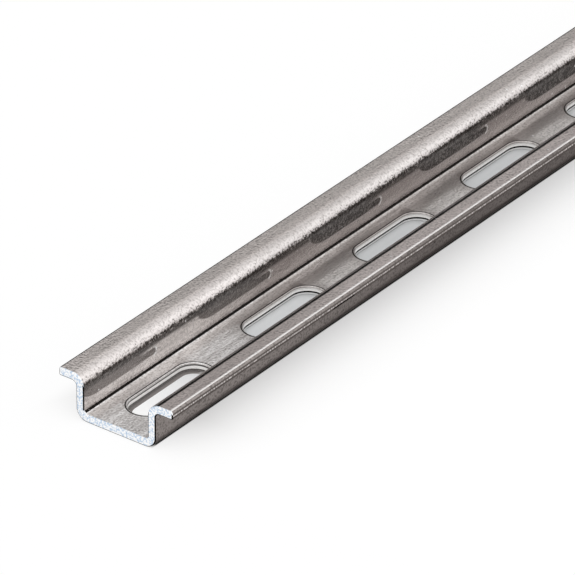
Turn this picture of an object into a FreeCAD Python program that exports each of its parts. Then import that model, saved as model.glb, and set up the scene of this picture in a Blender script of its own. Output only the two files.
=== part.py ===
"""Slotted top-hat mounting rail of the small 15 x 5.5 mm section, one bar of stock.

The bar is a single strip of galvanized steel. Rollers fold it into a shallow channel with a lip
standing out along each side, and a press punches a row of slots along the middle of its base.

Millimetres. X runs along the bar, Y across it and Z up. The origin is on the underside of the
base, halfway along the bar and on the middle line of its section.
"""
import FreeCAD, Part
import math
import os
from FreeCAD import Vector

# Bar as it is sold
bar_length = 1000.0

# Rolled section, sizes over the outside
rail_width = 15.0
rail_height = 5.5
channel_width = 10.5
sheet = 1.0
base_bend_inside = 0.4
lip_bend_inside = 0.55
lip_edge_round = 0.15

# Slots, punched down through the base
slot_pitch = 20.0
slot_length = 12.2
slot_width = 4.2
end_margin = 3.2
punch_roll = 0.35


def rounded_outline(corners):
    """Closed wire in the YZ plane through (y, z, radius) corners, an arc at each that has a radius."""
    points = [Vector(0, y, z) for y, z, radius in corners]
    edges = []
    run_starts = []
    run_ends = []
    for i, (y, z, radius) in enumerate(corners):
        corner = points[i]
        back = (points[i - 1] - corner).normalize()
        ahead = (points[(i + 1) % len(points)] - corner).normalize()
        half_angle = back.getAngle(ahead) / 2
        reach = radius / math.tan(half_angle)
        first = corner + back * reach
        last = corner + ahead * reach
        inward = (back + ahead).normalize()
        middle = corner + inward * (radius / math.sin(half_angle) - radius)
        if radius > 0:
            edges.append(Part.Arc(first, middle, last).toShape())
        run_ends.append(first)
        run_starts.append(last)
    for i in range(len(points)):
        edges.append(Part.makeLine(run_starts[i], run_ends[(i + 1) % len(points)]))
    return Part.Wire(Part.__sortEdges__(edges))


def section():
    """The rolled strip, cut across: base, two webs and two lips of one thickness."""
    lip_tip = rail_width / 2
    web_outside = channel_width / 2
    web_inside = web_outside - sheet
    lip_underside = rail_height - sheet
    base_bend_outside = base_bend_inside + sheet
    lip_bend_outside = lip_bend_inside + sheet
    right_side = [
        (web_outside, 0.0, base_bend_outside),
        (web_outside, lip_underside, lip_bend_inside),
        (lip_tip, lip_underside, lip_edge_round),
        (lip_tip, rail_height, lip_edge_round),
        (web_inside, rail_height, lip_bend_outside),
        (web_inside, sheet, base_bend_inside),
    ]
    left_side = [(-y, z, radius) for y, z, radius in reversed(right_side)]
    return rounded_outline(right_side + left_side)


def slot_wire(length, width, z):
    """Outline of one round-ended slot, flat at height z and centred on the origin."""
    radius = width / 2
    straight = length / 2 - radius
    return Part.Wire([
        Part.makeLine(Vector(-straight, -radius, z), Vector(straight, -radius, z)),
        Part.Arc(Vector(straight, -radius, z), Vector(length / 2, 0, z),
                 Vector(straight, radius, z)).toShape(),
        Part.makeLine(Vector(straight, radius, z), Vector(-straight, radius, z)),
        Part.Arc(Vector(-straight, radius, z), Vector(-length / 2, 0, z),
                 Vector(-straight, -radius, z)).toShape(),
    ])


def slot_punch():
    """The space that one slot takes out of the base, flared where the punch drew the sheet in."""
    overshoot = sheet
    wall_outline = Part.Face(slot_wire(slot_length, slot_width, -overshoot))
    wall = wall_outline.extrude(Vector(0, 0, sheet + 2 * overshoot))
    flare_bottom = slot_wire(slot_length, slot_width, sheet - punch_roll)
    flare_top = slot_wire(slot_length + 2 * punch_roll, slot_width + 2 * punch_roll, sheet)
    flare = Part.makeLoft([flare_bottom, flare_top], True, True)
    return wall, flare


def slot_centres():
    """X of each slot: the first a margin from the -X end, then as many as leave a margin at the other."""
    room = bar_length - 2 * end_margin - slot_length
    count = math.floor(room / slot_pitch) + 1
    first = -bar_length / 2 + end_margin + slot_length / 2
    return [first + i * slot_pitch for i in range(count)]


def rail():
    """The whole bar: the section drawn out along X, less its row of slots."""
    bar = Part.Face(section()).extrude(Vector(bar_length, 0, 0))
    bar.translate(Vector(-bar_length / 2, 0, 0))
    wall, flare = slot_punch()
    punches = []
    for x in slot_centres():
        punches.append(wall.translated(Vector(x, 0, 0)))
        punches.append(flare.translated(Vector(x, 0, 0)))
    return bar.cut(punches)


nodes = {"rail": rail()}

os.makedirs("parts", exist_ok=True)
for name, shape in nodes.items():
    solid = shape.Solids[0]
    print(name, "solids", len(shape.Solids), "valid", shape.isValid(), "volume", round(solid.Volume, 2),
          "faces", len(solid.Faces), "box", solid.BoundBox)
    solid.exportStep("parts/" + name + ".step")
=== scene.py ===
# %% [markdown]
# # A slotted mounting rail, from the strip to the finished bar
#
# The real thing is a bar of "top-hat" rail: one strip of steel, zinc plated, that rollers fold
# into a shallow channel with a lip standing out along each side. A press punches a row of slots
# along the middle. Devices clip over the two lips, and screws go through the slots.
#
# This lesson follows the factory. A flat strip gets one slot, its sides are bent up by extruding
# and spinning its edges, the short length is repeated to the full bar, and a Solidify modifier
# gives the sheet its thickness. Sheet metal is equally thick everywhere, so one surface plus
# Solidify is truer than drawing both sides by hand.

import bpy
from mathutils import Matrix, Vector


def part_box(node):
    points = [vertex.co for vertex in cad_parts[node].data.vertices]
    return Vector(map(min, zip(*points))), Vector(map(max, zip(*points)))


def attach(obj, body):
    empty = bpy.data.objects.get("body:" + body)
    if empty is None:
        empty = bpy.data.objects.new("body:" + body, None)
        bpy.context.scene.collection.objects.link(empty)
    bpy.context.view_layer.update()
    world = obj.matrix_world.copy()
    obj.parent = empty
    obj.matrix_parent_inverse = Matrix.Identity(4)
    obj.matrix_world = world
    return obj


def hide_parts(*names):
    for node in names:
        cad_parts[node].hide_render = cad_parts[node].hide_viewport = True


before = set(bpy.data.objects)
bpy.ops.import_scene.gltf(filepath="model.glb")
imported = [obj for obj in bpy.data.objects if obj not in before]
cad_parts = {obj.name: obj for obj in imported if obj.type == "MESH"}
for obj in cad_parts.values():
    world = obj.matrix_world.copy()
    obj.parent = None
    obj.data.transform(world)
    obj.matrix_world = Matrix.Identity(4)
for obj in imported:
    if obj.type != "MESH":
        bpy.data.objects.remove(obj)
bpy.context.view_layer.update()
rail_low, rail_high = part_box("rail")
print("bar box in mm", [round(v * 1000, 2) for v in (*rail_low, *rail_high)])

# %% [markdown]
# ## Sizes
#
# Blender works in metres here, so a real size in millimetres is multiplied by one constant. The
# length, width and height come from the frame. The rest are the section's own sizes: the sheet,
# the channel, the bends' radii to the middle of the sheet, and the slot that the punch makes.

# %% Sizes of the section and the slots
import math

import bmesh
import bpy
from mathutils import Quaternion, Vector

MM = 0.001
NEAR = 0.01 * MM
QUARTER_TURN = math.pi / 2

LENGTH = rail_high[0] - rail_low[0]
WIDTH = rail_high[1] - rail_low[1]
HEIGHT = rail_high[2] - rail_low[2]
SHEET = 1.0 * MM
CHANNEL = 10.5 * MM
BASE_BEND = 0.4 * MM + SHEET / 2
LIP_BEND = 0.55 * MM + SHEET / 2

SLOT_PITCH = 20.0 * MM
SLOT_LENGTH = 12.2 * MM
SLOT_WIDTH = 4.2 * MM
END_MARGIN = 3.2 * MM
SLOTS = round(LENGTH / SLOT_PITCH)
FIRST_SLOT = rail_low[0] + END_MARGIN + SLOT_LENGTH / 2

CHANNEL_INSIDE = CHANNEL / 2 - SHEET
WEB_MIDDLE = CHANNEL / 2 - SHEET / 2
BASE_FLAT = WEB_MIDDLE - BASE_BEND
BASE_MIDDLE = SHEET / 2
LIP_MIDDLE = HEIGHT - SHEET / 2
SLOT_STRAIGHT = (SLOT_LENGTH - SLOT_WIDTH) / 2
SLOT_RADIUS = SLOT_WIDTH / 2
print("slots", SLOTS, "half of the flat base in mm", round(BASE_FLAT / MM, 2))

# %% [markdown]
# ## Picking edges in edit mode
#
# By hand you click on edges. In code they are picked by where they are, so the same lines work
# each time the script runs. Everything is deselected first, because the frame arrives with its
# nodes selected and an operator acts on all that is selected.

# %% Helpers that select by place
def deselect_all():
    if bpy.context.object and bpy.context.object.mode != "OBJECT":
        bpy.ops.object.mode_set(mode="OBJECT")
    bpy.ops.object.select_all(action="DESELECT")


def pick_edges(test):
    """Selects only the edges that pass the test, and says how many there are."""
    bpy.ops.mesh.select_mode(type="EDGE")
    bpy.ops.mesh.select_all(action="DESELECT")
    mesh = bmesh.from_edit_mesh(bpy.context.object.data)
    picked = [edge for edge in mesh.edges if test(edge)]
    for edge in picked:
        edge.select_set(True)
    bmesh.update_edit_mesh(bpy.context.object.data)
    return len(picked)


def at(value, wanted):
    return abs(value - wanted) < NEAR


def every_end(edge, test):
    return all(test(vertex.co) for vertex in edge.verts)


def on_slot_line(co, offset):
    """True where a point lies at this offset outside a slot's edge, for a slot about x = 0."""
    past_straight = max(abs(co.x) - SLOT_STRAIGHT, 0)
    return at(math.hypot(past_straight, co.y), SLOT_RADIUS + offset)


deselect_all()
print("nothing is selected:", not bpy.context.selected_objects)

# %% [markdown]
# ## The camera
#
# The photograph was taken with a long lens, from near one end and about 31 degrees above the
# floor, so the bar's far edges hardly draw together. The camera is put where the near cut end,
# the lips and the slots fall on the places that they have in the photograph.

# %% The camera at the photograph's viewing angle
CAMERA_PLACE = Vector((-0.97865, -0.38219, 0.38030))
CAMERA_AIM = Vector((-0.46515, 0.00388, 0.0))
CAMERA_ROLL = math.radians(0.22)
SENSOR = 36.0
LENS = 432.7
CLIP_START = 10 * MM

camera_data = bpy.data.cameras.new("camera")
camera_data.sensor_width = SENSOR
camera_data.lens = LENS
camera_data.clip_start = CLIP_START
camera = bpy.data.objects.new("camera", camera_data)
bpy.context.scene.collection.objects.link(camera)
view_line = (CAMERA_AIM - CAMERA_PLACE).normalized()
turn = view_line.to_track_quat("-Z", "Y") @ Quaternion((0, 0, 1), CAMERA_ROLL)
camera.location = CAMERA_PLACE
camera.rotation_mode = "QUATERNION"
camera.rotation_quaternion = turn
bpy.context.scene.camera = camera
print("camera right", [round(v, 5) for v in turn @ Vector((1, 0, 0))])

# %% [markdown]
# ## The slot
#
# The punch leaves a slightly raised rim round each slot, which falls over a round edge into the
# hole, and the light draws it as a dark line beside a bright one. So the strip of metal next to
# the slot is made first, as a racetrack with its inner part lifted: one straight, a spin of half
# a turn, the other straight, and a second spin. Cutting with a Boolean would be quicker to write,
# but it leaves long thin triangles just where the rounded rim has to be.

# %% The racetrack round one slot
END_STEPS = 20
CREST = 0.15 * MM
RAMP = 0.12 * MM
TRACK = CREST + RAMP
RIM_RISE = 0.05 * MM


def spin(angle, centre, axis, steps):
    """Spins what is selected. The operator turns clockwise, so the angle's sign is changed."""
    bpy.ops.mesh.spin(steps=steps, angle=-angle, center=centre, axis=axis)


def pull(*step):
    """Extrudes the edges that are selected by one step along x, y and z."""
    bpy.ops.mesh.extrude_edges_move(TRANSFORM_OT_translate={"value": step})


bpy.ops.mesh.primitive_plane_add(size=1, location=(0, 0, BASE_MIDDLE))
bar = bpy.context.object
bar.name = "slotted_bar"
bar.data.name = "slotted_bar"
bpy.ops.object.mode_set(mode="EDIT")
bpy.ops.transform.resize(value=(SLOT_STRAIGHT * 2, CREST, 1))
bpy.ops.transform.translate(value=(0, -SLOT_RADIUS - CREST / 2, 0))
bpy.ops.object.mode_set(mode="OBJECT")
bpy.ops.object.transform_apply(location=True, rotation=True, scale=True)
bpy.ops.object.mode_set(mode="EDIT")
pick_edges(lambda edge: every_end(edge, lambda co: at(co.y, -SLOT_RADIUS - CREST)))
pull(0, -RAMP, 0)

pick_edges(lambda edge: every_end(edge, lambda co: at(co.x, SLOT_STRAIGHT)))
spin(math.pi, (SLOT_STRAIGHT, 0, BASE_MIDDLE), (0, 0, 1), END_STEPS)
pull(-SLOT_STRAIGHT * 2, 0, 0)
spin(math.pi, (-SLOT_STRAIGHT, 0, BASE_MIDDLE), (0, 0, 1), END_STEPS)
bpy.ops.mesh.select_all(action="SELECT")
bpy.ops.mesh.remove_doubles(threshold=NEAR)

pick_edges(lambda edge: every_end(edge, lambda co: not on_slot_line(co, TRACK)))
bpy.ops.transform.translate(value=(0, 0, RIM_RISE))
print("racetrack faces", len(bmesh.from_edit_mesh(bar.data).faces))

# %% [markdown]
# ## One pitch of the flat base
#
# The flat base of one pitch is a rectangle. The bar starts 3.2 mm before its first slot, so the
# rectangle's middle lies a little to one side of the slot's. Only its outline is added, and the
# space between it and the racetrack is filled. The fill is flat, so its triangles never show.

# %% The base of one pitch
SIDE_CUTS = 3
PITCH_MIDDLE = SLOT_PITCH / 2 - END_MARGIN - SLOT_LENGTH / 2

bpy.ops.mesh.primitive_plane_add(size=1, location=(PITCH_MIDDLE, 0, BASE_MIDDLE))
bpy.ops.transform.resize(value=(SLOT_PITCH, BASE_FLAT * 2, 1))
bpy.ops.mesh.delete(type="ONLY_FACE")
pick_edges(lambda edge: every_end(edge, lambda co: at(abs(co.y), BASE_FLAT)))
bpy.ops.mesh.subdivide(number_cuts=SIDE_CUTS)


def between_outlines(edge):
    outline = edge.is_wire
    rim = edge.is_boundary and every_end(edge, lambda co: on_slot_line(co, TRACK))
    return outline or rim


print("edges to fill between", pick_edges(between_outlines))
bpy.ops.mesh.fill(use_beauty=True)
bpy.ops.mesh.select_all(action="SELECT")
bpy.ops.mesh.normals_make_consistent(inside=False)
if bmesh.from_edit_mesh(bar.data).faces[0].normal.z < 0:
    bpy.ops.mesh.flip_normals()
print("base faces", len(bmesh.from_edit_mesh(bar.data).faces))

# %% [markdown]
# ## The webs and the lips
#
# The rolls of the mill bend the strip a little at a time. Here each side of the base is spun up
# by a quarter turn, extruded straight for the web, spun outwards by a quarter turn, and extruded
# flat for the lip. Twelve steps a bend are enough for the long highlight to look unbroken.

# %% Bending up both sides
BEND_STEPS = 12
WEB_FLAT = LIP_MIDDLE - LIP_BEND - BASE_MIDDLE - BASE_BEND
LIP_CENTRE = WEB_MIDDLE + LIP_BEND
LIP_FLAT = WIDTH / 2 - LIP_CENTRE

for side in (1, -1):
    pick_edges(lambda edge: edge.is_boundary and every_end(edge, lambda co: at(co.y, side * BASE_FLAT)))
    base_centre = (0, side * BASE_FLAT, BASE_MIDDLE + BASE_BEND)
    spin(side * QUARTER_TURN, base_centre, (1, 0, 0), BEND_STEPS)
    pull(0, 0, WEB_FLAT)
    lip_centre = (0, side * LIP_CENTRE, LIP_MIDDLE - LIP_BEND)
    spin(-side * QUARTER_TURN, lip_centre, (1, 0, 0), BEND_STEPS)
    pull(0, side * LIP_FLAT, 0)

bpy.ops.mesh.select_all(action="SELECT")
bpy.ops.mesh.remove_doubles(threshold=NEAR)
bpy.ops.mesh.normals_make_consistent(inside=False)
pitch_mesh = bmesh.from_edit_mesh(bar.data)
flat_face = max(pitch_mesh.faces, key=lambda face: abs(face.normal.z))
if flat_face.normal.z < 0:
    bpy.ops.mesh.flip_normals()
bpy.ops.mesh.select_all(action="SELECT")
bpy.ops.transform.translate(value=(FIRST_SLOT, 0, 0))
bpy.ops.object.mode_set(mode="OBJECT")
ys = [vertex.co.y / MM for vertex in bar.data.vertices]
zs = [vertex.co.z / MM for vertex in bar.data.vertices]
print("middle of the sheet in mm, y", round(min(ys), 3), round(max(ys), 3))
print("middle of the sheet in mm, z", round(min(zs), 3), round(max(zs), 3))

# %% [markdown]
# ## The full bar
#
# The slots repeat over the whole length, so one pitch is arrayed and its ends are merged. Solidify
# then gives half the sheet's thickness to each side of the surface, with a wall along every open
# edge: the lips, the slots and the two ends.

# %% Array and thickness
def apply_modifier(kind, name, **settings):
    modifier = bar.modifiers.new(name, kind)
    for key, value in settings.items():
        setattr(modifier, key, value)
    bpy.context.view_layer.objects.active = bar
    bpy.ops.object.modifier_apply(modifier=modifier.name)
    print(name, "gives", len(bar.data.polygons), "faces")


apply_modifier(
    "ARRAY", "slot pitches", count=SLOTS, use_relative_offset=False, use_constant_offset=True,
    constant_offset_displace=(SLOT_PITCH, 0, 0), use_merge_vertices=True, merge_threshold=NEAR)
apply_modifier(
    "SOLIDIFY", "sheet thickness", thickness=SHEET, offset=0, use_even_offset=True, use_rim=True)

# %% [markdown]
# ## Rolled and cut edges
#
# The punch draws the sheet's top skin down as it enters, so a slot's upper edge is a little round.
# Its lower edge only has a fine burr. The strip's own edges, at the lips, are rounded by the
# slitting, one more than the other, and the saw leaves a very small edge. A bevel with a few
# segments makes each of them, because that is real shape, which catches the light from any side.

# %% Bevels picked by place
PUNCH_ROLL = 0.14 * MM
PUNCH_BURR = 0.05 * MM
NEAR_LIP_ROUND = 0.4 * MM
FAR_LIP_ROUND = 0.2 * MM
LIP_ROUND_UNDER = 0.15 * MM
SAW_EDGE = 0.12 * MM
FACES_END = 0.9


def bevel(width, segments, test):
    picked = pick_edges(test)
    bpy.ops.mesh.bevel(offset=width, segments=segments, profile=0.5, clamp_overlap=False)
    print("edges bevelled", picked)


def on_slot_rim(z):
    """A test for the edges of the slots in the top or the bottom skin, which the rim lifts a little."""
    def on_rim(co):
        along = (co.x - FIRST_SLOT + SLOT_PITCH / 2) % SLOT_PITCH - SLOT_PITCH / 2
        return abs(co.z - z) < 2 * RIM_RISE and on_slot_line(Vector((along, co.y, 0)), 0)
    return lambda edge: every_end(edge, on_rim)


def on_lip_edge(z, side):
    return lambda edge: every_end(edge, lambda co: at(co.y * side, WIDTH / 2) and at(co.z, z))


def on_end_outline(edge):
    """True for the edges between a sawn end and the skin, and not for those inside the end."""
    if not every_end(edge, lambda co: at(abs(co.x), LENGTH / 2)):
        return False
    end_faces = [face for face in edge.link_faces if abs(face.normal.x) > FACES_END]
    return len(end_faces) == 1


def select_bar():
    deselect_all()
    bar.select_set(True)
    bpy.context.view_layer.objects.active = bar


select_bar()
bpy.ops.object.mode_set(mode="EDIT")
bevel(PUNCH_ROLL, 4, on_slot_rim(SHEET))
bevel(PUNCH_BURR, 1, on_slot_rim(0))
bevel(NEAR_LIP_ROUND, 6, on_lip_edge(HEIGHT, -1))
bevel(FAR_LIP_ROUND, 4, on_lip_edge(HEIGHT, 1))
bevel(LIP_ROUND_UNDER, 2, on_lip_edge(HEIGHT - SHEET, -1))
bevel(LIP_ROUND_UNDER, 2, on_lip_edge(HEIGHT - SHEET, 1))
bevel(SAW_EDGE, 2, on_end_outline)
bpy.ops.object.mode_set(mode="OBJECT")

# %% [markdown]
#
# Edges under 35 degrees are shaded smooth. The Weighted Normal modifier then lets the large flat
# faces decide the direction at their borders, so a flat web stays flat in its reflections and
# only the bends look round. The mesh has to be closed, and well under 200,000 triangles.

# %% Shading
SMOOTH_ANGLE = math.radians(35)

select_bar()
bpy.ops.object.shade_smooth_by_angle(angle=SMOOTH_ANGLE)
apply_modifier("WEIGHTED_NORMAL", "flat faces lead", mode="FACE_AREA", keep_sharp=True)

closed = bmesh.new()
closed.from_mesh(bar.data)
open_edges = sum(1 for edge in closed.edges if not edge.is_manifold)
volume = closed.calc_volume(signed=True)
closed.free()
bar.data.calc_loop_triangles()
print("triangles", len(bar.data.loop_triangles), "open edges", open_edges)
print("volume in mm3", round(volume / MM ** 3, 1))

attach(bar, "root")
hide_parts("rail")

# %% [markdown]
# ## Colours and nodes
#
# Colours are written as sRGB hex values, as a colour picker shows them, and one function turns
# them to the linear values that a shader needs. One more function adds a node with its settings
# and its links. The others put nodes together: a mask from limits, layers of colour, a relief.

# %% Helpers for materials
WHITE = "FFFFFF"
# The black serves a real scratch and painted shade, the brown real pits and a painted shadow
BLACK_SCRATCH_AND_SHADE = "161312"
BROWN_PITS_AND_SHADOW = "2B2725"


def colour(code):
    channels = [int(code[i:i + 2], 16) / 255 for i in (0, 2, 4)]
    linear = [c / 12.92 if c <= 0.04045 else ((c + 0.055) / 1.055) ** 2.4 for c in channels]
    return (*linear, 1)


def fill_in(tree, node, inputs):
    """Each input gets its value or its hex colour, or a link where the value is a socket."""
    for key, value in inputs.items():
        if isinstance(value, bpy.types.NodeSocket):
            tree.links.new(value, node.inputs[key])
        else:
            node.inputs[key].default_value = colour(value) if isinstance(value, str) else value


def add_node(tree, kind, inputs, output=0, **settings):
    """Adds a node with its settings and links, and gives back one of its outputs."""
    node = tree.nodes.new("ShaderNode" + kind)
    for key, value in settings.items():
        setattr(node, key, value)
    fill_in(tree, node, inputs)
    return node.outputs[output]


def mask(tree, *limits):
    """One where all the values are past their limits. Each is (value, zero here, one here)."""
    product = 1.0
    for value, zero, one in limits:
        part = add_node(tree, "MapRange", {"Value": value, "From Min": zero, "From Max": one})
        product = add_node(tree, "Math", {0: product, 1: part}, operation="MULTIPLY")
    return product


def stripe(value, low, high, soft):
    """Two limits for a mask, which make it one between low and high only."""
    return (value, low - soft, low), (value, high + soft, high)


def either(tree, first, *others):
    """The strongest of several masks at each place."""
    for other in others:
        first = add_node(tree, "Math", {0: first, 1: other}, operation="MAXIMUM")
    return first


def paint(tree, ground, *layers):
    """Lays colours over a ground colour. Each layer is (mask, strength, colour)."""
    for where, strength, tone in layers:
        amount = add_node(tree, "Math", {0: where, 1: strength}, operation="MULTIPLY")
        ground = add_node(tree, "Mix", {0: amount, 6: ground, 7: tone}, 2, data_type="RGBA")
    return ground


def relief(tree, *parts):
    """A normal that shows heights too small to model. Each part is (pattern, height)."""
    total = 0.0
    for pattern, height in parts:
        inputs = {0: pattern, 1: height / MM, 2: total}
        total = add_node(tree, "Math", inputs, operation="MULTIPLY_ADD")
    return add_node(tree, "Bump", {"Height": total, "Strength": 1.0, "Distance": MM})


# The brown of the pits and of the painted contact shadow
print("brown of the pits and the painted shadow, in linear values", [round(c, 3) for c in colour(BROWN_PITS_AND_SHADOW)[:3]])

# %% [markdown]
# ## Places on the bar
#
# Every pattern is laid out in the bar's own coordinates, in metres, so its size is a real size
# and it stays with the bar in any pose. The marks of the punch follow the slots, so a few helpers
# measure how far a point is from the nearest slot. An image texture would need a picture of each
# side, and it would blur close up.

# %% Helpers for places
from types import SimpleNamespace


def where_on_bar(tree):
    """The bar's own coordinates: along it, across it, up, and the distance from its middle line."""
    point = add_node(tree, "TexCoord", {}, "Object")
    x, side, z = add_node(tree, "SeparateXYZ", {"Vector": point}).node.outputs
    y = add_node(tree, "Math", {0: side}, operation="ABSOLUTE")
    return SimpleNamespace(tree=tree, point=point, x=x, side=side, y=y, z=z)


def speckle(place, size, detail=2.0):
    """A pattern whose spots have this size along x, y and z."""
    scale = [1 / length for length in size]
    spread = add_node(place.tree, "Mapping", {"Vector": place.point, "Scale": scale})
    return add_node(
        place.tree, "TexNoise", {"Vector": spread, "Scale": 1.0, "Detail": detail}, "Fac")


def from_end(place, zero, one):
    """A limit for a mask, by the distance from the near sawn end."""
    return place.x, rail_low[0] + zero, rail_low[0] + one


def along_slot(place, shift):
    """Distance along the bar from the nearest slot's middle, moved by a shift."""
    start = FIRST_SLOT + shift - SLOT_PITCH / 2
    along = add_node(place.tree, "Math", {0: place.x, 1: start}, operation="SUBTRACT")
    along = add_node(place.tree, "Math", {0: along, 1: SLOT_PITCH}, operation="FLOORED_MODULO")
    return add_node(place.tree, "Math", {0: along, 1: SLOT_PITCH / 2}, operation="SUBTRACT")


def past(place, value, limit, stretch=1.0):
    """How far a value is past a limit, made less by a stretch, and zero before it."""
    more = add_node(place.tree, "Math", {0: value, 1: limit}, operation="SUBTRACT")
    more = add_node(place.tree, "Math", {0: more, 1: 1 / stretch}, operation="MULTIPLY")
    return add_node(place.tree, "Math", {0: more, 1: 0.0}, operation="MAXIMUM")


def distance(place, first, second):
    """Length of the diagonal of two distances."""
    flat = add_node(place.tree, "CombineXYZ", {"X": first, "Y": second})
    return add_node(place.tree, "VectorMath", {0: flat}, "Value", operation="LENGTH")


def from_slot_line(place):
    """Distance from the line between the middles of a slot's two round ends."""
    along = add_node(place.tree, "Math", {0: along_slot(place, 0)}, operation="ABSOLUTE")
    return distance(place, past(place, along, SLOT_STRAIGHT), place.y)


print("first slot's middle is", round((FIRST_SLOT - rail_low[0]) / MM, 2), "mm from the end")

# %% [markdown]
# ## The slots' mirror image on the far web
#
# Satin zinc still mirrors what is close to it. In the photograph the far web mirrors the slots
# as dark lobes, each with a small nose and a bright glint round it. Here white paper fills the
# slots, so their true reflection would be bright. A darker tone on that web stands for the mirror
# image: a body with a drawn-out tail, a thin nose, and the glint as a line round the nose. Each
# is a distance from a short line that repeats with the slots, so it needs no drawing.

# %% Masks for the lobes and their glints
LOBE_SHIFT = -3.05 * MM
LOBE_TAIL = 3.85 * MM
TAIL_STRETCH = 2.3
LOBE_TOP = 3.7 * MM
LOBE_RADIUS = 1.32 * MM
NOSE = 5.6 * MM
NOSE_LENGTH = 2.4 * MM
NOSE_HEIGHT = 2.9 * MM
NOSE_RADIUS = 0.45 * MM
GLINT = 0.12 * MM
LOBE_EDGE = 0.12 * MM
WEB_EDGE = 0.1 * MM


def mirror_lobes(place):
    """Two masks: one for the dark lobes on the far web, one for the glints at their noses."""
    tree = place.tree
    along = along_slot(place, LOBE_SHIFT)
    backwards = add_node(tree, "Math", {0: along, 1: -1.0}, operation="MULTIPLY")
    downwards = add_node(tree, "Math", {0: place.z, 1: -1.0}, operation="MULTIPLY")
    from_body = distance(
        place, past(place, backwards, LOBE_TAIL, TAIL_STRETCH), past(place, downwards, -LOBE_TOP))
    from_nose = distance(
        place, past(place, along, NOSE),
        add_node(tree, "Math", {0: place.z, 1: NOSE_HEIGHT}, operation="SUBTRACT"))
    web = stripe(place.side, CHANNEL_INSIDE - WEB_EDGE, CHANNEL_INSIDE, WEB_EDGE)
    body = mask(tree, *web, (from_body, LOBE_RADIUS, LOBE_RADIUS - LOBE_EDGE),
                (along, NOSE - NOSE_RADIUS, NOSE - NOSE_LENGTH))
    nose = mask(tree, *web, (from_nose, NOSE_RADIUS, NOSE_RADIUS - LOBE_EDGE),
                (along, NOSE - NOSE_LENGTH - LOBE_EDGE, NOSE - NOSE_LENGTH))
    glint = mask(tree, *web, (along, NOSE, NOSE + LOBE_EDGE),
                 *stripe(from_nose, NOSE_RADIUS, NOSE_RADIUS + GLINT, LOBE_EDGE))
    return either(tree, body, nose), glint


lobe_length = LOBE_TAIL + LOBE_RADIUS * TAIL_STRETCH + NOSE + NOSE_RADIUS
print("length of a lobe in mm", round(lobe_length / MM, 1))

# %% [markdown]
# ## Dark lines
#
# Shade gathers where two faces meet: in the channel's corners, outside each slot's raised rim,
# on the far lip's edge and along the near bend. Blender's light softens such narrow places, so
# each one gets a line of painted shade, about as wide as the photograph shows it.

# %% Mask for the dark lines
LINE_EDGE = 0.02 * MM
CORNER_LINE = (1.06 * MM, 1.24 * MM)
LIP_LINE = 0.22 * MM
BEND_LINE = (-5.66 * MM, -5.4 * MM)
BEND_LINE_EDGE = 0.1 * MM


def dark_lines(place):
    """Painted shade in the corners, round the rims, on the far lip's edge and along the near bend."""
    tree = place.tree
    corner = mask(tree, *stripe(place.z, *CORNER_LINE, LINE_EDGE))
    rim = mask(tree, (place.z, SHEET + 3 * RIM_RISE, SHEET + 2 * RIM_RISE), *stripe(
        from_slot_line(place), SLOT_RADIUS + CREST, SLOT_RADIUS + TRACK, LINE_EDGE))
    lip = mask(tree, (place.side, WIDTH / 2 - LIP_LINE - LINE_EDGE, WIDTH / 2 - LIP_LINE))
    bend = mask(tree, *stripe(place.side, *BEND_LINE, BEND_LINE_EDGE))
    return either(tree, corner, rim, lip, bend)


print("corner line in mm", round((CORNER_LINE[1] - CORNER_LINE[0]) / MM, 2))

# %% [markdown]
# ## Satin zinc in the channel
#
# The real coat is plated zinc, a slightly warm grey metal that is satin to the eye: it mirrors
# the room as soft bands along the bends and the flats. Metallic at one and a low roughness give
# that. The real grain is too fine for this picture, so it is drawn a quarter of a millimetre
# wide, as coarse as it needs to show. The waves, scuffs and specks are about as large as the
# photograph shows them. The tones of the base, the webs, the bends and the lips are painted
# light and shade: lighter and darker copies of one zinc, where the light falls differently.
# The bar is painted lighter near its cut end, and darker clouds beside the slots and a darker
# stripe along each side of the base are painted shade too. A dark band under the far bend is a
# painted reflection, and the near lip's edge has a painted highlight.

# %% Sizes of the zinc's patterns
GRAIN = (0.26 * MM, 0.26 * MM, 0.26 * MM)
GRAIN_DEPTH = 0.07 * MM
WAVE = (8.0 * MM, 1.4 * MM, 1.4 * MM)
WAVE_DEPTH = 0.05 * MM
SCUFF = (4.0 * MM, 0.3 * MM, 0.3 * MM)
SPECK = (0.45 * MM, 0.45 * MM, 0.45 * MM)
TORN = 2.4 * MM

# Where each pattern begins to show and shows in full, from 0 to 1 in the noise
GRAIN_SHOWS = (0.55, 0.35)
WAVE_SHOWS = (0.4, 0.75)
SCUFF_SHOWS = (0.45, 0.62)
SPECK_SHOWS = (0.83, 0.87)
print("grain in mm", round(GRAIN[0] / MM, 2), "wave in mm", round(WAVE[0] / MM, 1))

# %% Zones of the channel
# Each of these says where a mask is zero and where it is one
FROM_CUT = (20 * MM, 34 * MM)
IN_DEPTH = (8 * MM, 44 * MM)
BETWEEN_SLOTS = (FIRST_SLOT + 8 * MM, FIRST_SLOT + 12 * MM)
BASE_LIMIT = (1.1 * MM, 1.04 * MM)
WEB_LIMIT = (1.1 * MM, 1.2 * MM)
BAND_LIMIT = (3.4 * MM, 3.75 * MM)
SCUFF_LIMIT = (4.0 * MM, 3.6 * MM)
BEND_LIMIT = (4.2 * MM, 4.6 * MM)
CROWN_LIMIT = (5.05 * MM, 5.3 * MM)
LIP_LIMIT = (HEIGHT - 0.1 * MM, HEIGHT - 0.01 * MM)
TORN_LIMIT = (5.75 * MM, 5.45 * MM)

# Two stripes, from and to, and the widths of soft borders
BASE_SHADE = (1.4 * MM, 2.6 * MM)
# Where the painted highlight on the near lip's edge lies, across the bar
NEAR_EDGE_HIGHLIGHT = (-7.4 * MM, -7.1 * MM)
BASE_SHADE_EDGE = 0.5 * MM
CLOUD = 1.6 * MM
MIDDLE = 1.0 * MM


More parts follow.
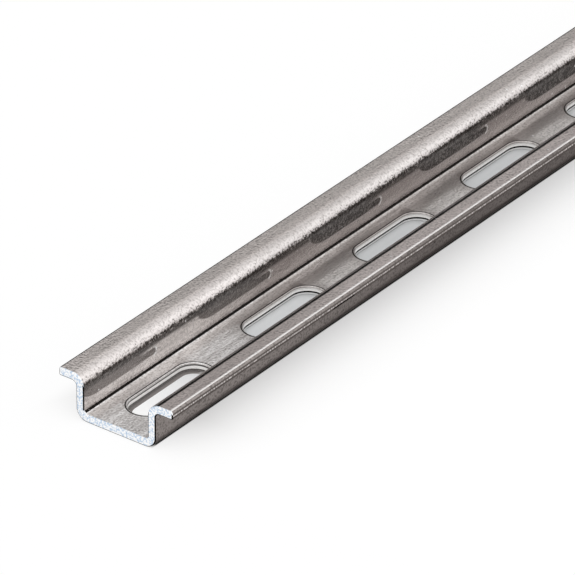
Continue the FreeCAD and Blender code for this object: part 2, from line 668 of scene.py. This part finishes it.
def channel_tint(place, grain, wave):
    """Base, webs, bends and lips in that order, then wear, the mirror image and the dark lines.

    The tones by zone, lighter near the cut end, are painted light and shade. The mirror image with
    its glints and the dark band are painted reflection, the near lip's bright edge is a painted
    highlight, and the dark lines are painted shade.
    """
    tree = place.tree
    scuff = speckle(place, SCUFF, 3.0)
    speck = speckle(place, SPECK, 0.0)
    away = from_end(place, *FROM_CUT)
    base = (place.z, *BASE_LIMIT)
    web = (place.z, *WEB_LIMIT)
    bend = (place.z, *BEND_LIMIT)
    lip = (place.z, *LIP_LIMIT)
    far = (place.side, -MIDDLE, MIDDLE)
    near = (place.side, MIDDLE, -MIDDLE)
    by_slot = (from_slot_line(place), SLOT_RADIUS + TRACK + CLOUD, SLOT_RADIUS + TRACK)
    torn = add_node(tree, "Math", {0: grain, 1: TORN, 2: place.z}, operation="MULTIPLY_ADD")
    lobes, glints = mirror_lobes(place)
    return paint(
        tree, "FDFBFA",
        # Painted light: the zinc is lighter near the cut end than away from it
        (mask(tree, away), 1.0, "F0ECE9"),
        # Painted shade: darker clouds beside the slots and a darker stripe along the base
        (mask(tree, base, (place.x, *BETWEEN_SLOTS), by_slot), 0.55, "A8A29F"),
        (mask(tree, away, base, *stripe(place.y, *BASE_SHADE, BASE_SHADE_EDGE)), 1.0, "B8B2AF"),
        # Painted light and shade: lighter and darker tones of one zinc on webs, bends, crown and lips
        (mask(tree, web), 1.0, "E6E0DD"),
        (mask(tree, away, web), 1.0, "B0A9A7"),
        (mask(tree, bend), 1.0, "F0EAE8"),
        (mask(tree, bend, away), 1.0, "EAE5E3"),
        (mask(tree, (place.z, *CROWN_LIMIT)), 0.45, "B5AEAB"),
        (mask(tree, lip, far), 1.0, "E2DAD6"),
        (mask(tree, lip, near), 1.0, "CAC0BD"),
        (mask(tree, lip, near, away), 1.0, "DCD2CF"),
        (mask(tree, (wave, *WAVE_SHOWS)), 0.2, "A19A98"),
        (mask(tree, (scuff, *SCUFF_SHOWS), (place.z, *SCUFF_LIMIT)), 0.3, "A19A98"),
        (lobes, 1.0, "857E7B"),
        (lobes, mask(tree, from_end(place, *IN_DEPTH)), "45403E"),
        # Painted reflection: a dark band with a torn edge under the far bend
        (mask(tree, far, (place.z, *BAND_LIMIT), (torn, *TORN_LIMIT)), 1.0, "55504E"),
        (glints, 0.8, WHITE),
        (mask(tree, (grain, *GRAIN_SHOWS)), 0.5, "958F8C"),
        # Painted shade in the corners, round the rims, on the far lip's edge and along the near bend
        (dark_lines(place), 1.0, "221F1D"),
        # Painted highlight along the near lip's edge
        (mask(tree, *stripe(place.side, *NEAR_EDGE_HIGHLIGHT, LINE_EDGE)), 1.0, "F4F1EF"),
        (mask(tree, (speck, *SPECK_SHOWS)), 0.8, WHITE))


# The painted highlight on the near lip's edge, across in mm
print("painted highlight on the near lip's edge, across in mm", [round(v / MM, 2) for v in NEAR_EDGE_HIGHLIGHT])

# %% The satin zinc
GRAIN_RANGE = (0.2, 0.8)
SATIN = (0.12, 0.24)
ROUGHER = 0.14
DISHED = (32 * MM, 24 * MM)
DISH = (0.8 * MM, 2.6 * MM)
DISH_DEPTH = 0.16 * MM
HEEL = (3.7 * MM, 3.95 * MM)
HEEL_DEPTH = 0.05 * MM


def new_material(name):
    material = bpy.data.materials.new(name)
    material.use_nodes = True
    return material, material.node_tree, material.node_tree.nodes["Principled BSDF"]


def metal(name, finish):
    """A metal whose colour, roughness and normal are what the finish gives for a place."""
    material, tree, shader = new_material(name)
    fill_in(tree, shader, {"Metallic": 1.0, **finish(where_on_bar(tree))})
    print(name, "has", len(tree.nodes), "nodes")
    return material


def channel_side(place):
    """Satin zinc, rougher on the base and the bends.

    The base is very slightly dished near the cut end, with a heel beside each corner that shines
    as a thin line. Both are too low to model, so they are part of the relief.
    """
    tree = place.tree
    grain = speckle(place, GRAIN)
    wave = speckle(place, WAVE)
    base = (place.z, *BASE_LIMIT)
    roughness = add_node(tree, "MapRange", {
        "Value": grain, "From Min": GRAIN_RANGE[0], "From Max": GRAIN_RANGE[1],
        "To Min": SATIN[0], "To Max": SATIN[1]})
    for rougher in (mask(tree, base), mask(tree, (place.z, *BEND_LIMIT))):
        inputs = {0: rougher, 1: ROUGHER, 2: roughness}
        roughness = add_node(tree, "Math", inputs, operation="MULTIPLY_ADD")
    dish = mask(tree, base, from_end(place, *DISHED), (place.y, *DISH))
    heel = mask(tree, base, (place.y, *HEEL))
    normal = relief(
        tree, (grain, GRAIN_DEPTH), (wave, WAVE_DEPTH), (dish, DISH_DEPTH), (heel, HEEL_DEPTH))
    return {"Base Color": channel_tint(place, grain, wave), "Roughness": roughness, "Normal": normal}


zinc = metal("zinc-plated steel, satin", channel_side)

# %% [markdown]
# ## Roll-marked zinc on the outer side
#
# The rolls press and rub on the outer side, so there the zinc is rougher, with fine streaks
# along the bar. It is also darker, darkest at the foot and away from the cut end, and this
# darkness is painted shade. A scored line runs along each lip's edge: painted highlights make it
# shine in dots between two dark lines. The real dots and streaks are finer than a pixel, so
# they are drawn as coarse as they need to show. One black scratch is where the photograph has
# it, a few small pits lie at random, and next to each sawn end this side has a thin black line
# of painted shade.

# %% The roll-marked zinc
NOISE_RANGE = (0.3, 0.7)
STREAK = (3.5 * MM, 0.14 * MM, 0.14 * MM)
STREAK_DEPTH = 0.006 * MM
STREAK_SHOWS = (0.4, 0.62)
DOT = (0.22 * MM, 0.5 * MM, 0.5 * MM)
DOT_SHOWS = (0.42, 0.66)
PIT = (0.5 * MM, 0.5 * MM, 0.5 * MM)
PIT_SHOWS = (0.17, 0.13)
RUB_GRAIN_SHOWS = (0.52, 0.36)
FOOT = (0.5 * MM, 1.55 * MM)
DARKENING = (15 * MM, 50 * MM)
LIP_EDGE = (WIDTH / 2 - 0.2 * MM, WIDTH / 2 - 0.15 * MM)
SCORED = (4.6 * MM, 5.2 * MM)
SHINING = (4.85 * MM, 5.0 * MM)
SCRATCH = (rail_low[0] + 27.9 * MM, rail_low[0] + 31.5 * MM)
SCRATCH_TAPER = 0.3 * MM
SCRATCH_RISE = (4.66 * MM, 4.8 * MM)
RUBBED = (0.4, 0.28)


def outer_side(place):
    """Darker zinc with streaks, a scored line on the lip's edge, a scratch, pits and black ends.

    The darkness and the black lines by the ends are painted shade, and the scored line's dots
    are painted highlights.
    """
    tree = place.tree
    streak = speckle(place, STREAK, 3.0)
    grain = speckle(place, GRAIN)
    dot = speckle(place, DOT, 0.0)
    pit = speckle(place, PIT, 0.0)
    edge = (place.y, *LIP_EDGE)
    scored = mask(tree, edge, *stripe(place.z, *SCORED, LINE_EDGE))
    shining = mask(tree, edge, *stripe(place.z, *SHINING, LINE_EDGE))
    scratch = mask(tree, edge, *stripe(place.x, *SCRATCH, SCRATCH_TAPER),
                   *stripe(place.z, *SCRATCH_RISE, LINE_EDGE))
    near_line = mask(tree, from_end(place, SAW_EDGE + LINE_EDGE, SAW_EDGE))
    far_line = mask(tree, from_end(place, LENGTH - SAW_EDGE - LINE_EDGE, LENGTH - SAW_EDGE))
    # Painted shade: the dark ground, left at the foot, and the darkening away from the cut end
    tint = paint(
        tree, "1E1B1A",
        (mask(tree, (place.z, *FOOT)), 1.0, "948D8A"),
        (mask(tree, (streak, *STREAK_SHOWS)), 0.45, "A59D9A"),
        (mask(tree, from_end(place, *DARKENING)), 0.45, "3F3A38"),
        (mask(tree, (grain, *RUB_GRAIN_SHOWS)), 0.6, "4A4543"),
        (scored, 1.0, "645E5B"),
        (shining, 1.0, "8A8380"),
        # Dots of painted highlight in the shining line
        (mask(tree, (dot, *DOT_SHOWS)), shining, "E4DEDC"),
        (mask(tree, (pit, *PIT_SHOWS)), 0.8, BROWN_PITS_AND_SHADOW),
        # Black lines of painted shade next to the sawn ends
        (either(tree, near_line, far_line), 1.0, BLACK_SCRATCH_AND_SHADE),
        (scratch, 0.95, BLACK_SCRATCH_AND_SHADE))
    roughness = add_node(tree, "MapRange", {
        "Value": streak, "From Min": NOISE_RANGE[0], "From Max": NOISE_RANGE[1],
        "To Min": RUBBED[0], "To Max": RUBBED[1]})
    # The grey specular tint darkens the reflection too, as painted shade
    return {"Base Color": tint, "Roughness": roughness, "Specular Tint": "9A9A9A",
            "Normal": relief(tree, (streak, STREAK_DEPTH))}


# Rougher roll-marked zinc, darkened with painted shade
rubbed_and_shaded = metal("zinc-plated steel, roll-marked, in painted shade", outer_side)

# %% [markdown]
# ## Walls of the slots
#
# A punch shears the upper part of a hole's wall bright and smooth, and the rest breaks away
# below a dark line. From the camera only this line and the bright band over it show. In the
# first slot the photograph has a second line near the top, and its lower part is darker.

# %% The sheared walls
WALL_GRAIN = (0.4 * MM, 0.4 * MM, 0.12 * MM)
WALL_GRAIN_SHOWS = (0.4, 0.65)
WALL_TOP = (0.6 * MM, 0.85 * MM)
SHEAR_LINE = (0.18 * MM, 0.32 * MM)
LATER_LINE = (0.28 * MM, 0.47 * MM)
UPPER_LINE = (0.7 * MM, 0.86 * MM)
SHEARED = (0.4, 0.25)


def slot_wall(place):
    """A bright band over a dark line, which is lower in the first slot, with a second line there."""
    tree = place.tree
    grain = speckle(place, WALL_GRAIN, 3.0)
    later = (place.x, *BETWEEN_SLOTS)
    first = (place.x, *reversed(BETWEEN_SLOTS))
    tint = paint(
        tree, "FAF8F6",
        (mask(tree, (grain, *WALL_GRAIN_SHOWS)), 0.3, "C9C3C0"),
        (mask(tree, (place.z, *WALL_TOP)), 0.5, "A29B98"),
        (mask(tree, later, (place.z, *reversed(LATER_LINE))), 0.7, "D2D3D3"),
        (mask(tree, later, *stripe(place.z, *LATER_LINE, LINE_EDGE)), 1.0, "1E1B1A"),
        (mask(tree, first, *stripe(place.z, *SHEAR_LINE, LINE_EDGE)), 0.9, "3A3533"),
        (mask(tree, first, *stripe(place.z, *UPPER_LINE, LINE_EDGE)), 0.9, "3A3533"),
        (mask(tree, first, (place.z, *reversed(SHEAR_LINE))), 0.8, "5E5856"))
    roughness = add_node(tree, "MapRange", {
        "Value": grain, "From Min": NOISE_RANGE[0], "From Max": NOISE_RANGE[1],
        "To Min": SHEARED[0], "To Max": SHEARED[1]})
    return {"Base Color": tint, "Roughness": roughness,
            "Normal": relief(tree, (grain, STREAK_DEPTH))}


walls = metal("punched steel, sheared wall", slot_wall)

# %% [markdown]
# ## Sawn ends
#
# The saw cuts through the zinc, so the ends are bare steel, which is brighter and bluer. The
# teeth's marks are far finer than a pixel. Here they are drawn as a mottle of a quarter of a
# millimetre, as coarse as it needs to show.

# %% The sawn steel
MOTTLE = (0.26 * MM, 0.26 * MM, 0.26 * MM)
MOTTLE_SHOWS = (0.4, 0.56)
SAWN = (0.45, 0.35)


def sawn_end(place):
    """Bright steel, mottled from blue to white."""
    tree = place.tree
    mottle = speckle(place, MOTTLE, 3.0)
    tint = paint(tree, "C2D4E8", (mask(tree, (mottle, *MOTTLE_SHOWS)), 1.0, WHITE))
    roughness = add_node(tree, "MapRange", {
        "Value": mottle, "From Min": NOISE_RANGE[0], "From Max": NOISE_RANGE[1],
        "To Min": SAWN[0], "To Max": SAWN[1]})
    return {"Base Color": tint, "Roughness": roughness,
            "Normal": relief(tree, (mottle, STREAK_DEPTH))}


sawn = metal("sawn steel, bright", sawn_end)

# %% [markdown]
# ## Which face has which material
#
# The bar is one piece of metal, so it stays one mesh, and each face gets the material of its
# side. By hand you would select the faces and press Assign. In code a face's place and the way
# it looks decide: the ends, the slots' walls, the outer side with the underside, and the rest.

# %% Materials by place
SKINS = (zinc, rubbed_and_shaded, walls, sawn)

# How far a face looks along, across or up: one is straight that way, and zero is not at all
SLIGHTLY = 0.2
ALMOST_LEVEL = 0.8
SAWN_FLAT = 0.95
SAWN_UPWARDS = 0.1


def skin(face):
    """The material of a face, by its place and the way it looks."""
    centre, direction = face.center, face.normal
    outwards = direction.y * math.copysign(1, centre.y)
    at_end = abs(centre.x) > LENGTH / 2 - SAW_EDGE and abs(direction.x) > SLIGHTLY
    if at_end:
        return sawn if direction.z > SAWN_UPWARDS or abs(direction.x) > SAWN_FLAT else rubbed_and_shaded
    if abs(centre.y) < SLOT_RADIUS + NEAR and NEAR < centre.z < SHEET - PUNCH_ROLL + NEAR:
        return walls
    if direction.z < ALMOST_LEVEL and outwards > -SLIGHTLY and not abs(centre.y) < BASE_FLAT:
        return rubbed_and_shaded
    return rubbed_and_shaded if direction.z < -SLIGHTLY else zinc


bar.data.materials.clear()
for material in SKINS:
    bar.data.materials.append(material)
for face in bar.data.polygons:
    face.material_index = SKINS.index(skin(face))
for index, material in enumerate(SKINS):
    print(material.name, sum(face.material_index == index for face in bar.data.polygons), "faces")

# %% [markdown]
# ## The floor
#
# The bar lies on white paper. The eye sees the paper white, so a part of its brightness comes
# from its own colour, for camera and mirror rays, and the rest keeps the bar's shadow. The shadow
# falls to the side of the near lip, so the paper's own colour counts for more on the other sides.
# More light would do the same, but then the zinc would be too bright.
#
# Inside the slots the photograph's paper is white in the first and greyer in the next ones, with
# shade along the first slot's far wall. A thin dark line of contact shadow follows both feet of
# the bar. These are painted shade on the paper, because the light of the tent alone doesn't make
# them.

# %% Masks on the paper
FLOOR_SIZE = 40.0

# Where a mask is zero and where it is one, but the contact line is from and to
GREYING = (FIRST_SLOT - 4 * MM, FIRST_SLOT + 8 * MM)
GREYER_STILL = (FIRST_SLOT + SLOT_PITCH, FIRST_SLOT + 2 * SLOT_PITCH)
FIRST_ONLY = (FIRST_SLOT + 9 * MM, FIRST_SLOT + 8 * MM)
WALL_SHADE = 0.5 * MM
WALL_SHADE_SIDE = (-0.5 * MM, 0.8 * MM)
CONTACT = (3.0 * MM, 4.6 * MM)
CONTACT_EDGE = 0.12 * MM
BEFORE_END = (8 * MM, -2 * MM)
BEYOND_LIP = (WIDTH / 2 - 1 * MM, WIDTH / 2 + 3 * MM)

deselect_all()
bpy.ops.mesh.primitive_plane_add(size=FLOOR_SIZE, location=(0, 0, 0))
floor = bpy.context.object
floor.name = "floor"
white, tree, shader = new_material("white paper")
place = where_on_bar(tree)
in_slots = (
    (place.y, SLOT_WIDTH, SLOT_RADIUS),
    *stripe(place.x, rail_low[0] + END_MARGIN, rail_high[0] - END_MARGIN, SHEET))
greyer = mask(tree, *in_slots, (place.x, *GREYING))
greyer_still = mask(tree, *in_slots, (place.x, *GREYER_STILL))
wall_shade = mask(
    tree, *in_slots, (place.side, *WALL_SHADE_SIDE), (place.x, *FIRST_ONLY),
    (from_slot_line(place), SLOT_RADIUS - WALL_SHADE - LINE_EDGE, SLOT_RADIUS - WALL_SHADE))
contact = mask(
    tree, *stripe(place.y, *CONTACT, CONTACT_EDGE),
    *stripe(place.x, rail_low[0] + SHEET, rail_high[0] - SHEET, SHEET))
bright_side = either(
    tree, mask(tree, from_end(place, *BEFORE_END)), mask(tree, (place.side, *BEYOND_LIP)))
print("paper is", FLOOR_SIZE, "m wide, with", len(tree.nodes), "nodes so far")

# %% White paper
OWN_WHITE = 0.45
OWN_WHITE_BRIGHT_SIDE = 0.92

# Painted shade: greyer paper in the slots, shade by the first slot's far wall, the contact shadow
tone = paint(
    tree, "FDFDFD",
    (greyer, 1.0, "DBDDDE"),
    (greyer_still, 1.0, "CFD1D2"),
    (wall_shade, 1.0, "8A8583"),
    (contact, 1.0, BROWN_PITS_AND_SHADOW))
fill_in(tree, shader, {"Base Color": tone, "Roughness": 0.9, "Specular IOR Level": 0.0})
rays = add_node(tree, "LightPath", {}).node.outputs
painted = either(tree, greyer, wall_shade, contact)
seen_by_camera = add_node(
    tree, "Math", {0: rays["Is Camera Ray"], 1: painted}, operation="SUBTRACT", use_clamp=True)
seen = either(tree, seen_by_camera, rays["Is Glossy Ray"])
own_white = add_node(tree, "MapRange", {
    "Value": bright_side, "To Min": OWN_WHITE, "To Max": OWN_WHITE_BRIGHT_SIDE})
own_white = add_node(tree, "Math", {0: seen, 1: own_white}, operation="MULTIPLY")
glow = add_node(tree, "Emission", {"Color": WHITE, "Strength": 1.0})
paper = add_node(tree, "MixShader", {0: own_white, 1: shader.outputs[0], 2: glow})
tree.links.new(paper, tree.nodes["Material Output"].inputs["Surface"])
floor.data.materials.append(white)
print("white paper has", len(tree.nodes), "nodes")

# %% [markdown]
# ## The light
#
# The light is a tent round the bar: bright over the camera, less bright at the far side, and dark
# close to the floor there. Metal shows only what it reflects, so this dark ring is what draws the
# thin dark lines along the bends. A tent is made in the World, as a colour for each direction,
# because it is even and has no edges. Area lamps would show in the zinc as hard white bars.

# %% Light tent
SOFTBOX_SIDE = Vector((-0.6, -0.8, 0.2)).normalized()
SOFTBOX_FADE = (-0.5, -0.12)
SOFTBOX_LEVEL = 1.2
RING_TOP = (0.39, 0.47)
FAR_LEVEL = 0.75
DARK_LEVEL = 0.01

world = bpy.data.worlds.new("light tent")
bpy.context.scene.world = world
world.use_nodes = True
tree = world.node_tree
way = add_node(tree, "TexCoord", {}, "Generated")
height = add_node(tree, "SeparateXYZ", {"Vector": way}, "Z")
facing = add_node(tree, "VectorMath", {0: way, 1: SOFTBOX_SIDE}, "Value", operation="DOT_PRODUCT")
softbox = add_node(
    tree, "MapRange", {"Value": facing, "From Min": SOFTBOX_FADE[0], "From Max": SOFTBOX_FADE[1]},
    interpolation_type="SMOOTHSTEP")
far_side = add_node(tree, "MapRange", {
    "Value": height, "From Min": RING_TOP[0], "From Max": RING_TOP[1],
    "To Min": DARK_LEVEL, "To Max": FAR_LEVEL})
level = add_node(tree, "Mix", {0: softbox, 2: far_side, 3: SOFTBOX_LEVEL})
fill_in(tree, tree.nodes["Background"], {"Color": WHITE, "Strength": level})

bpy.context.scene.view_settings.view_transform = "Standard"
print("light tent, softbox towards", [round(v, 2) for v in SOFTBOX_SIDE])
